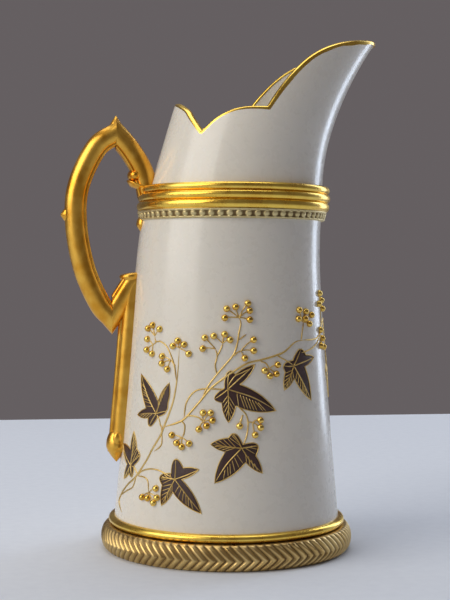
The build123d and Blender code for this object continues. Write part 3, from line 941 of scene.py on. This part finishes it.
rng = np.random.default_rng(7)
for number, (angle, height, lobes) in enumerate(LEAVES, 1):
    sides = leaf_sides(lobes)
    outline = leaf_outline(sides)
    flat, lift = leaf_blade(outline)
    blade = surface(f"leaf_{number:02d}", wrap(flat, angle, height, lift), wrap_rows=False)
    dress(blade, ENAMEL, "leaf_enamel", f"leaf_{number:02d}")
    strokes = wrapped_strokes(leaf_gold(sides, outline, rng), angle, height)
    lines = surface(f"leaf_{number:02d}_gold", strokes, wrap_rows=False)
    dress(lines, LINES, "raised_gilding")

# %% [markdown]
# ## Berries
#
# Each berry is a drop of raised gold paste, fired, gilded and burnished: a little more than half a ball,
# shining more than anything else on the jug. A few dozen faces are enough at this size.

# %% Berries
BERRY = 0.95
CLUSTERS = (
    ((147, 66.0), (151, 65.0), (141, 65.0), (151, 62.0), (151, 59.0), (146, 58.0)),
    ((128, 62.0), (131, 60.5), (124, 61.0), (121, 58.5)),
    ((138, 57.5), (138, 55.5), (134, 54.0)),
    ((112, 63.0), (107, 63.5), (113, 60.0), (101, 64.0), (98, 62.5)),
    ((100, 71.0), (95, 71.5), (101, 68.5), (88, 72.5), (87, 70.5), (87, 68.0)),
    ((85, 62.5), (85, 59.5), (90, 57.5)),
    ((79, 54.0), (76, 52.5), (71, 55.5), (72, 53.0)),
    ((54, 70.5), (48, 70.0), (55, 68.0), (42, 69.0), (45, 66.5), (49, 68.0)),
    ((112, 42.5), (108, 42.5), (107, 40.5), (110, 39.0), (114, 38.0)),
    ((129, 36.0), (126, 34.0), (123, 33.0), (119, 34.0)),
    ((137, 21.0), (136, 18.5), (138, 17.0), (142, 18.0), (146, 18.0)),
    ((93, 39.0), (82, 40.5), (82, 38.5), (85, 36.5)),
    ((27, 75.0), (23, 73.0), (21, 70.5), (30, 72.0)),
    ((30, 64.5), (27, 62.0), (25, 59.5), (31, 60.0)),
    ((352, 73.0), (347, 74.0), (346, 71.5), (351, 70.0), (342, 72.5)),
    ((334, 70.5), (330, 71.5), (328, 68.5), (333, 68.0)),
    ((250, 62.0), (255, 63.0), (256, 60.5), (251, 59.0), (247, 60.0)),
    ((276, 63.0), (281, 64.0), (282, 61.0), (277, 60.0)),
    ((222, 52.0), (227, 53.0), (228, 50.5), (223, 49.5)),
)


def berry(angle, height):
    """A dome wrapped on the wall: rings from its top down to a foot sunk just under the glaze."""
    down = np.radians(np.linspace(0, 112, 9))[:, None]
    turn = np.radians(np.linspace(0, 360, 16, endpoint=False))[None, :]
    flat = np.stack([BERRY * np.sin(down) * np.cos(turn), BERRY * np.sin(down) * np.sin(turn)], -1)
    lift = BERRY * np.cos(down) + 0.28 + 0 * turn
    dome = wrap(flat, angle, height, lift)
    return np.concatenate([dome, np.broadcast_to(dome[-1].mean(0), dome[-1:].shape)])


for number, places in enumerate(CLUSTERS, 1):
    name = f"berry_cluster_{number:02d}"
    cluster = surface(name, [berry(*place) for place in places], wrap_rows=False)
    dress(cluster, RAISED, "raised_gilding", name)

# %% [markdown]
# ## Stems
#
# The stems are long brush strokes of gold between the leaves and the berries. Each one is a short list of
# places on the wall, with a smooth line through them. Every berry has its own twig from the
# end of a stem.

# %% Stems
# (width, places as (angle, height))
SIDE_SPRAY = (
    (0.62, ((165.5, 12), (171.5, 14.5), (168.5, 17), (160.5, 20.5), (157.5, 21.5), (152.5, 23.5), (145.5, 28),
            (141.5, 31.5), (136.5, 35.5), (134.5, 38), (129.5, 45), (127.5, 52), (127, 60))),
    (0.42, ((171.5, 16), (161.5, 18.5), (155.5, 20), (153.5, 22), (152.5, 23.5))),
    (0.42, ((136, 38.5), (135.5, 36), (135.5, 33), (140, 31))),
    (0.42, ((136.5, 38), (138, 40), (140, 41.5))),
    (0.42, ((152, 24), (155, 25.5), (159, 26))),
    (0.45, ((151.5, 23.5), (148.5, 25), (142.5, 26), (136.5, 26), (130.5, 25), (126, 24))),
    (0.42, ((151, 23.5), (146, 23.5), (143, 22.5), (142, 19.5))),
    (0.45, ((124, 40), (122, 39), (122, 37), (123, 35.5))),
    (0.45, ((121, 41.5), (117, 41.5), (114, 41), (112, 40))),
    (0.45, ((128, 51), (130, 55.5), (135, 60), (140, 61.5), (144, 61.5), (145, 63))),
    (0.42, ((143, 61.5), (146, 60.5))),
    (0.42, ((129, 55), (132, 56.5))),
    (0.60, ((134.5, 38), (126, 39.5), (121.5, 41), (114, 45.5), (107.5, 49.5), (97, 53.5),
            (88.5, 56), (80, 57), (72, 58), (66, 59), (58, 61.5), (50.5, 62))),
    (0.45, ((122.5, 41), (121.5, 45), (117.5, 48), (112, 49), (104.5, 49), (99, 49))),
    (0.50, ((113, 46), (110, 49.5), (105, 53), (100, 56), (96, 58.5),
            (94, 61.5), (93, 64.5), (92, 67), (93, 68.5))),
    (0.42, ((105, 53), (106, 55.5), (105, 58), (106, 60))),
    (0.42, ((105, 58), (103, 60), (102, 61.5))),
    (0.36, ((93, 62.5), (89, 64))),
    (0.42, ((96, 58), (94, 59), (92, 59.5))),
    (0.42, ((81, 56.5), (78, 56), (76, 54.5))),
    (0.42, ((71, 58), (67, 57), (63, 56), (60, 55))),
    (0.42, ((99.5, 49.5), (95.5, 52.5), (91.5, 53.5), (85.5, 55))),
    (0.42, ((53, 62), (51.5, 64.5), (50, 67))),
    (0.45, ((94, 44.5), (92, 43.5), (89.5, 42), (88.5, 39.5), (89.5, 36), (92, 33))),
    (0.36, ((91.5, 42), (92, 40))),
    (0.40, ((88.5, 40), (86, 40))),
)
FRONT_SPRAY = (
    (0.50, ((50.5, 62), (42, 62), (34, 62.5), (26, 65.5), (18, 67.5), (8, 67), (-4, 66), (-16, 67),
            (-26, 69))),
    (0.42, ((54, 58.5), (47, 59), (40, 60), (34, 61.5), (30, 62.5))),
    (0.42, ((26, 65.5), (25.5, 69), (25.5, 72))),
    (0.42, ((18, 67.5), (16, 62), (14, 57), (14, 54))),
    (0.42, ((-4, 66), (-8, 68.5), (-11, 71))),
    (0.42, ((-26, 69), (-30, 65), (-36, 60), (-38, 57))),
)
FAR_SPRAY = (
    (0.60, ((200, 17), (205, 22), (214, 29), (226, 39), (240, 45), (256, 51), (272, 57), (278, 60.5))),
    (0.42, ((214, 29), (222, 31), (230, 33.5), (236, 35))),
    (0.42, ((226, 39), (226, 44), (225.5, 48), (225, 50.5))),
    (0.42, ((240, 45), (245, 51), (250, 56), (251.5, 60))),
    (0.42, ((252, 49.5), (259, 48.5), (266, 49))),
)


# Where the twigs of each cluster start
HUBS = (
    ((145, 63), (146, 60.5)),
    ((127, 60), (127.5, 57)),
    ((132, 56.5),),
    ((106, 60), (102, 61.5)),
    ((93, 68.5),),
    ((92, 59.5),),
    ((76, 54.5),),
    ((50, 67),),
    ((112, 40),),
    ((123, 35.5),),
    ((142, 19.5),),
    ((86, 40), (91, 42)),
    ((25, 72),),
    ((29, 62),),
    ((348, 71.5),),
    ((331, 69),),
    ((251.5, 60),),
    ((278, 60.5),),
    ((225, 50.5),),
)


def twigs(places, hubs):
    """A twig from the nearest hub to each berry, bent a little upwards."""
    lines = []
    for spot in np.array(places, float):
        hub = min(np.array(hubs, float), key=lambda h: np.hypot(*((spot - h) * (0.5, 1))))
        lines.append((0.36, (tuple(hub), tuple((hub + spot) / 2 + (0.3, 0.2)), tuple(spot))))
    return lines


def stem_strokes(stems):
    """Each stem as a stroke. Angles become distances along the wall at the stem's own mean height."""
    strokes = []
    for width, places in stems:
        p = np.array(places, float)
        origin = p[0]
        along = -np.radians(p[:, 0] - origin[0]) * half_length(p[:, 1])
        flat = smooth_through(np.stack([along, p[:, 1] - origin[1]], -1), 12 * len(p))
        strokes.append((origin, stroke(flat, width, 0.24, taper=0.8)))
    return [closed_bar(wrap(flat, origin[0], origin[1], lift)) for origin, (flat, lift) in strokes]


# Each spray: its stems, and the first and last of its clusters
SPRAYS = {
    "side_spray": (SIDE_SPRAY, 0, 12),
    "front_spray": (FRONT_SPRAY, 12, 16),
    "far_spray": (FAR_SPRAY, 16, 19),
}
for name, (stems, first, last) in SPRAYS.items():
    pairs = zip(CLUSTERS[first:last], HUBS[first:last])
    every = [*stems, *(twig for places, hubs in pairs for twig in twigs(places, hubs))]
    dress(surface(f"{name}_stems", stem_strokes(every), wrap_rows=False), LINES, "raised_gilding")

# %% [markdown]
# ## Table, light and camera
#
# The jug stands on a plain pale table. The light is soft: a broad warm source from the left and in front, a
# cool strip from behind on the right that draws the bright line down the spout's side, and a dim sky, so
# that the gold has something dark to reflect beside the bright sources.

# %% Table
def table():
    """A flat top with a plain pale finish, whose far edge lies a little behind the jug."""
    half, far = 1500.0, 330.0
    corners = np.array([[(-half, -half, 0), (half, -half, 0)], [(-half, far, 0), (half, far, 0)]])
    plane = surface("table", corners, wrap_rows=False, wrap_columns=False)
    material, tree, shader, place = new_material("pale_table")
    weave = noise(tree, place, 300.0, 4.0)
    colour = mix_colour(tree, weave, (0.65, 0.69, 0.77, 1), (0.73, 0.77, 0.84, 1))
    tree.links.new(colour, shader.inputs["Base Color"])
    tree.links.new(between(tree, weave, 0.75, 0.9), shader.inputs["Roughness"])
    plane.data.materials.append(material)


table()


# %% Lights
def soft_light(name, place, target, size, power, colour):
    """An area light that faces a target. size is (width, height) in metres."""
    light = bpy.data.lights.new(name, "AREA")
    light.shape, light.size, light.size_y = "RECTANGLE", size[0], size[1]
    light.energy, light.color = power, colour
    holder = bpy.data.objects.new(name, light)
    holder.location = place
    holder.rotation_euler = (Vector(target) - Vector(place)).to_track_quat("-Z", "Y").to_euler()
    bpy.context.scene.collection.objects.link(holder)


MIDDLE = (0.0, 0.0, 0.075)
soft_light("key_left", (-1.15, -0.45, 0.75), MIDDLE, (1.2, 1.2), 13.0, (1.0, 0.96, 0.89))
soft_light("strip_right", (0.80, 0.56, 0.35), MIDDLE, (0.26, 0.9), 3.0, (0.74, 0.84, 1.0))
soft_light("top", (0.0, 0.25, 1.2), MIDDLE, (1.0, 1.0), 7.0, (0.94, 0.97, 1.0))
world = bpy.data.worlds.new("dim_room")
world.use_nodes = True
world.node_tree.nodes["Background"].inputs["Color"].default_value = (0.13, 0.115, 0.12, 1)
world.node_tree.nodes["Background"].inputs["Strength"].default_value = 1.0
bpy.context.scene.world = world
bpy.context.scene.view_settings.view_transform = "Standard"

# %% Camera
CAMERA_TURN = np.radians(9.5)  # the camera stands this far round from the jug's side
CAMERA_DIP = np.radians(1.3)
CAMERA_ROLL = np.radians(0.3)
CAMERA_DISTANCE = 0.3814
CAMERA_HEIGHT = 0.0814
CAMERA_LEFT = 0.0007


def set_camera():
    """Builds the camera's axes: forward along the turned level, dipped, with a slight roll."""
    level = np.array([np.sin(CAMERA_TURN), np.cos(CAMERA_TURN), 0.0])
    right = np.array([np.cos(CAMERA_TURN), -np.sin(CAMERA_TURN), 0.0])
    place = -level * CAMERA_DISTANCE + (0, 0, CAMERA_HEIGHT) - right * CAMERA_LEFT
    forward = level * np.cos(CAMERA_DIP) - np.array([0, 0, np.sin(CAMERA_DIP)])
    up = level * np.sin(CAMERA_DIP) + np.array([0, 0, np.cos(CAMERA_DIP)])
    rolled_right = right * np.cos(CAMERA_ROLL) + up * np.sin(CAMERA_ROLL)
    rolled_up = up * np.cos(CAMERA_ROLL) - right * np.sin(CAMERA_ROLL)
    camera = bpy.data.cameras.new("camera")
    camera.lens, camera.sensor_width, camera.clip_start = 77.3, 36.0, 0.01
    holder = bpy.data.objects.new("camera", camera)
    turn = np.eye(4)
    turn[:3, 0], turn[:3, 1], turn[:3, 2], turn[:3, 3] = rolled_right, rolled_up, -forward, place
    holder.matrix_world = Matrix(turn.tolist())
    bpy.context.scene.collection.objects.link(holder)
    bpy.context.scene.camera = holder


set_camera()
